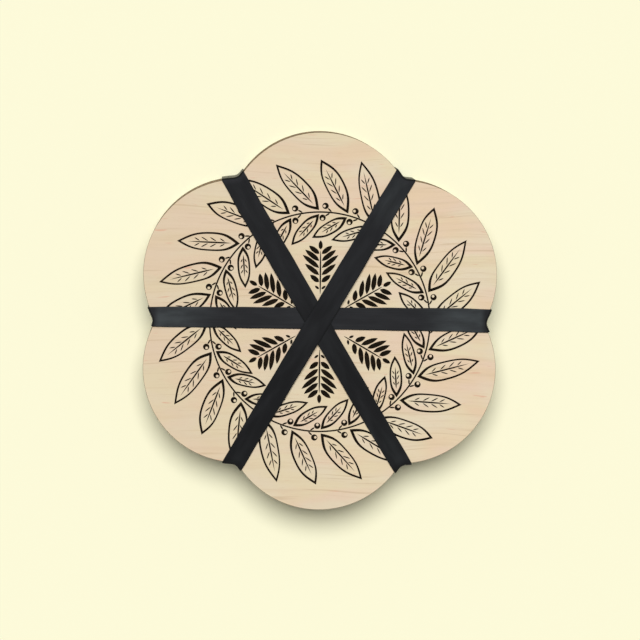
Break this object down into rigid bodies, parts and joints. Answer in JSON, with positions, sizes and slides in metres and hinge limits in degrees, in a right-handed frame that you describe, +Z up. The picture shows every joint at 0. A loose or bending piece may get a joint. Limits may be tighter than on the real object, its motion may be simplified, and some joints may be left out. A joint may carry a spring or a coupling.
{
  "type": "flower press",
  "caption": "Flower-shaped wooden press: lobed plywood boards clamp corrugated cards and blotting papers, held shut by flat black rubber bands that sit in the notches.",
  "frame": {"origin": "under the middle of the press, on the surface that it stands on", "axes": "+Z up through the boards, +Y towards the lobe at the top of the board, +X to the right"},
  "size_m": [0.1604, 0.172, 0.0323],
  "materials": {
    "plywood": "pale birch plywood, sanded and unvarnished, with a browned cut edge",
    "kraft_card": "brown kraft corrugated card; its flutes are modelled, so paper is the solid's density",
    "blotting_paper": "off-white uncoated blotting paper",
    "black_rubber": "smooth black rubber with a dull sheen"
  },
  "bodies": {
    "base": {"bottom_board": "plywood", "card_1": "kraft_card", "blotter_1_lower": "blotting_paper", "band_level": "black_rubber", "band_falling": "black_rubber", "band_rising": "black_rubber"},
    "leaf_1": {"blotter_1_upper": "blotting_paper", "card_2": "kraft_card", "blotter_2_lower": "blotting_paper"},
    "leaf_2": {"blotter_2_upper": "blotting_paper", "card_3": "kraft_card", "blotter_3_lower": "blotting_paper"},
    "leaf_3": {"blotter_3_upper": "blotting_paper", "card_4": "kraft_card", "blotter_4_lower": "blotting_paper"},
    "leaf_4": {"blotter_4_upper": "blotting_paper", "card_5": "kraft_card", "blotter_5_lower": "blotting_paper"},
    "leaf_5": {"blotter_5_upper": "blotting_paper", "card_6": "kraft_card", "blotter_6_lower": "blotting_paper"},
    "lid": {"blotter_6_upper": "blotting_paper", "card_7": "kraft_card", "top_board": "plywood"}
  },
  "joints": [
    {"name": "lid_lift", "type": "slide", "parent": "base", "child": "lid", "axis": [0, 0, 1], "range_m": [0, 0.018], "stiffness_N_per_m": 600, "springref_m": -0.02, "deforming": ["band_level", "band_falling", "band_rising"]},
    {"name": "leaf_1_lift", "type": "slide", "parent": "base", "child": "leaf_1", "axis": [0, 0, 1], "range_m": [0, 0.003]},
    {"name": "leaf_2_lift", "type": "slide", "parent": "base", "child": "leaf_2", "axis": [0, 0, 1], "range_m": [0, 0.006]},
    {"name": "leaf_3_lift", "type": "slide", "parent": "base", "child": "leaf_3", "axis": [0, 0, 1], "range_m": [0, 0.009]},
    {"name": "leaf_4_lift", "type": "slide", "parent": "base", "child": "leaf_4", "axis": [0, 0, 1], "range_m": [0, 0.012]},
    {"name": "leaf_5_lift", "type": "slide", "parent": "base", "child": "leaf_5", "axis": [0, 0, 1], "range_m": [0, 0.015]}
  ],
  "couplings": [
    {"joint": "leaf_1_lift", "follows": "lid_lift", "ratio": 0.16667},
    {"joint": "leaf_2_lift", "follows": "lid_lift", "ratio": 0.33333},
    {"joint": "leaf_3_lift", "follows": "lid_lift", "ratio": 0.5},
    {"joint": "leaf_4_lift", "follows": "lid_lift", "ratio": 0.66667},
    {"joint": "leaf_5_lift", "follows": "lid_lift", "ratio": 0.83333}
  ]
}
